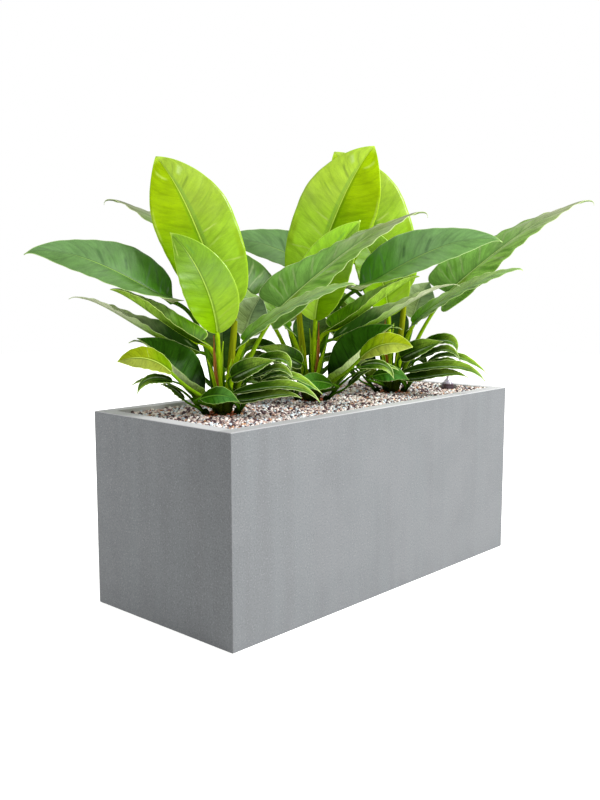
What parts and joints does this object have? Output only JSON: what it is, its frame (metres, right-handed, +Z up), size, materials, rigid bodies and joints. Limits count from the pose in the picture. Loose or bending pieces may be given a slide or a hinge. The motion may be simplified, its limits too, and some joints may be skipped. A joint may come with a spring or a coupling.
{
  "type": "potted imperial green philodendron",
  "caption": "Long rectangular grey planter filled with granulate that holds a row of leafy aroid plants and a small water gauge.",
  "frame": {"origin": "centre of the flat underside of the planter", "axes": "+X along the long side of the planter, +Y towards its rear long side, +Z up"},
  "size_m": [1.1288, 0.7468, 0.9649],
  "materials": {
    "planter": "cool grey fibre-concrete, matt, with faint vertical streaks and fine speckle",
    "granulate": "loose mineral grains, off-white, pinkish beige, plum brown and pale ice blue",
    "pellets": "fired clay pellets, matt reddish brown",
    "culture_pot": "dark grey moulded plastic",
    "stem": "fleshy stalks, green to olive, slightly glossy",
    "leaf_lime": "thin young leaf, lime green, satin, paler midrib",
    "leaf_green": "leathery leaf, mid green, satin, paler underside",
    "leaf_fresh": "leathery leaf, fresh green, satin, paler underside",
    "leaf_dark": "leathery leaf, dark green, satin, pale grey-green underside",
    "leaf_dull": "leathery leaf, grey green",
    "leaf_yellow": "young leaf, yellow green, satin",
    "shoot": "small leaves and thin stalks, green with lime margins",
    "gauge_tube": "dark plum plastic",
    "gauge_window": "clear plastic cone and slim tube",
    "gauge_float": "red pointer tip on a float rod"
  },
  "bodies": {
    "root": {"planter": "planter", "granulate": "granulate", "left_stems": "stem", "left_tall": "leaf_lime", "left_front": "leaf_lime", "left_broad": "leaf_green", "left_long": "leaf_green", "left_narrow_right": "leaf_fresh", "left_narrow_left": "leaf_fresh", "left_canoe_left": "leaf_dark", "left_back_right": "leaf_dull", "left_back": "leaf_dark", "left_yellow_left": "leaf_yellow", "left_dark_left": "leaf_dark", "left_low_front": "leaf_green", "left_shoot_left": "shoot", "left_shoot_right": "shoot", "left_shoot_rear": "shoot", "left_root_ball": "pellets", "left_culture_pot": "culture_pot", "middle_stems": "stem", "middle_tall": "leaf_lime", "middle_front": "leaf_lime", "middle_broad": "leaf_green", "middle_long": "leaf_green", "middle_narrow_right": "leaf_fresh", "middle_narrow_left": "leaf_fresh", "middle_canoe_left": "leaf_dark", "middle_back_right": "leaf_dull", "middle_back": "leaf_dark", "middle_yellow_left": "leaf_yellow", "middle_dark_left": "leaf_dark", "middle_low_front": "leaf_green", "middle_shoot_left": "shoot", "middle_shoot_right": "shoot", "middle_shoot_rear": "shoot", "middle_root_ball": "pellets", "middle_culture_pot": "culture_pot", "right_stems": "stem", "right_tall": "leaf_lime", "right_front": "leaf_lime", "right_broad": "leaf_green", "right_long": "leaf_green", "right_narrow_right": "leaf_fresh", "right_narrow_left": "leaf_fresh", "right_canoe_left": "leaf_dark", "right_back_right": "leaf_dull", "right_back": "leaf_dark", "right_dark_left": "leaf_dark", "right_low_front": "leaf_green", "right_shoot_left": "shoot", "right_shoot_right": "shoot", "right_shoot_rear": "shoot", "right_root_ball": "pellets", "right_culture_pot": "culture_pot", "gauge_tube": "gauge_tube", "gauge_window": "gauge_window", "gauge_float": "gauge_float"}
  },
  "joints": []
}
